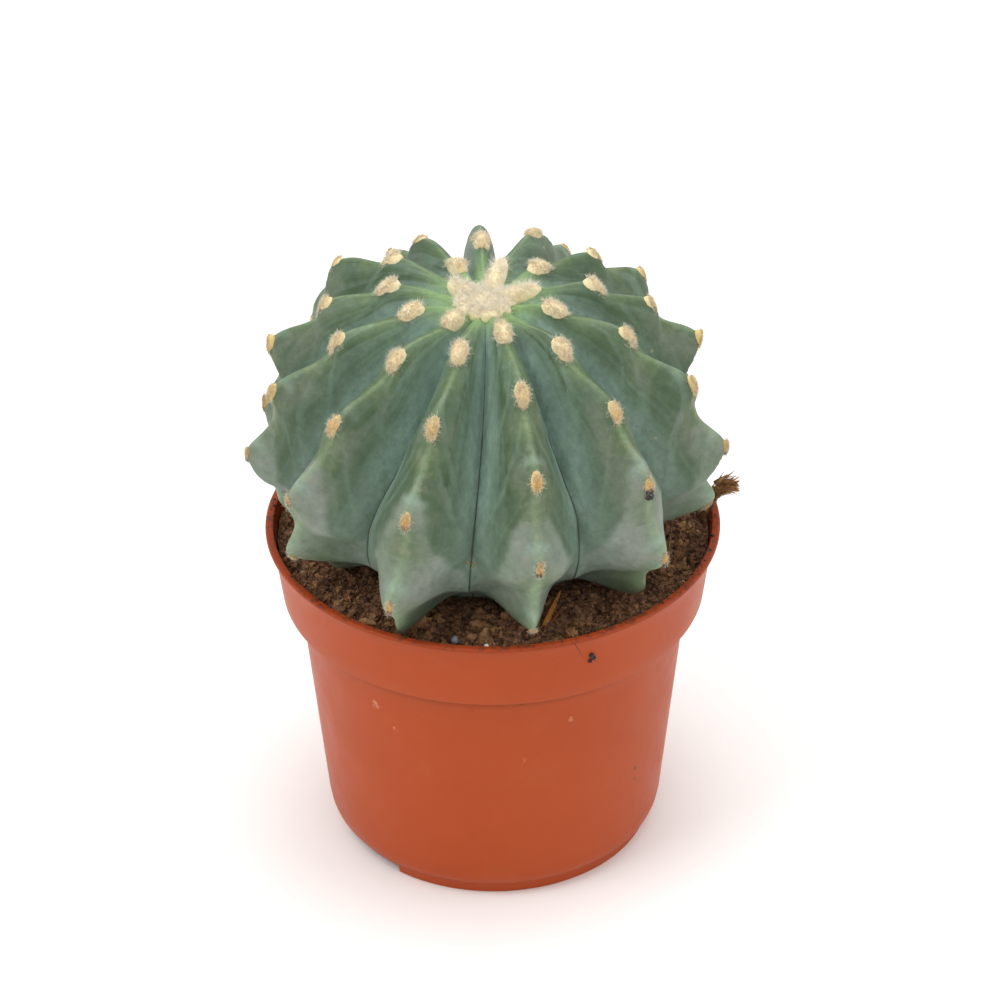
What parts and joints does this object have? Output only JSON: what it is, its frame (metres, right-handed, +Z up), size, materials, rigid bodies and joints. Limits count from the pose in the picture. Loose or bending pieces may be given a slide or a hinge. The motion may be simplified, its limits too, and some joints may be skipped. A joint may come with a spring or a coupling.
{
  "type": "potted_round_cactus",
  "caption": "Round blue-green barrel cactus with sharp ribs and cream woolly areoles, growing in dark peat in a brick-orange plastic nursery pot.",
  "frame": {"origin": "middle of the part's bounding box in X and Y, within 1 mm of the pot's axis, on the plane that the pot stands on", "axes": "+Z up along the pot's axis; -Y is the front that the picture shows, +X is to its right"},
  "size_m": [0.1266, 0.1251, 0.1632],
  "materials": {
    "pot": "satin",
    "potting_peat": "matte",
    "cactus_body": "satin",
    "crown_wool": "matte",
    "fibre_tuft": "matte",
    "straw_sliver": "matte"
  },
  "bodies": {
    "root": {"pot": "pot", "potting_peat": "potting_peat", "cactus_body": "cactus_body", "crown_wool": "crown_wool", "fibre_tuft": "fibre_tuft", "straw_sliver": "straw_sliver"}
  },
  "joints": []
}
